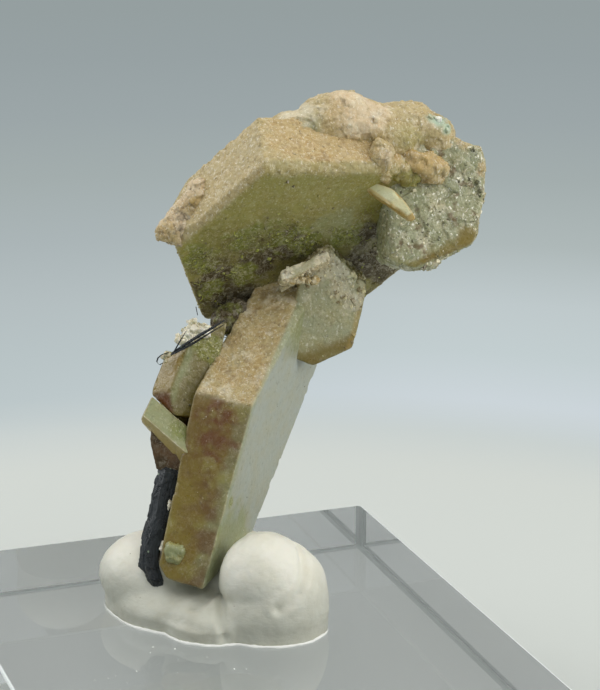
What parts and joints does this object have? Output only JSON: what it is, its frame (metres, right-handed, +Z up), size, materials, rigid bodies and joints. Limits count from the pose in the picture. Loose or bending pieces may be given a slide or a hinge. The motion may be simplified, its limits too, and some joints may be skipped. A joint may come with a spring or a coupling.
{
  "type": "mineral specimen on a display block",
  "caption": "Cluster of six-sided catapleiite plates with a black aegirine prism, leaning up out of white putty on a clear block.",
  "frame": {"origin": "the display block's underside, midway between its long sides and 15 mm in front of its back", "axes": "+Z up, Y along the block's long sides; the picture looks from the -Y side, 20 degrees to the left of +Y"},
  "size_m": [0.0335, 0.034, 0.0408],
  "materials": {
    "clear_acrylic": "polished",
    "putty": "matte",
    "catapleiite": "satin",
    "aegirine": "satin"
  },
  "bodies": {
    "root": {"display_block": "clear_acrylic", "putty": "putty", "catapleiite_crystals": "catapleiite", "aegirine_prism": "aegirine", "aegirine_blade": "aegirine"}
  },
  "joints": []
}
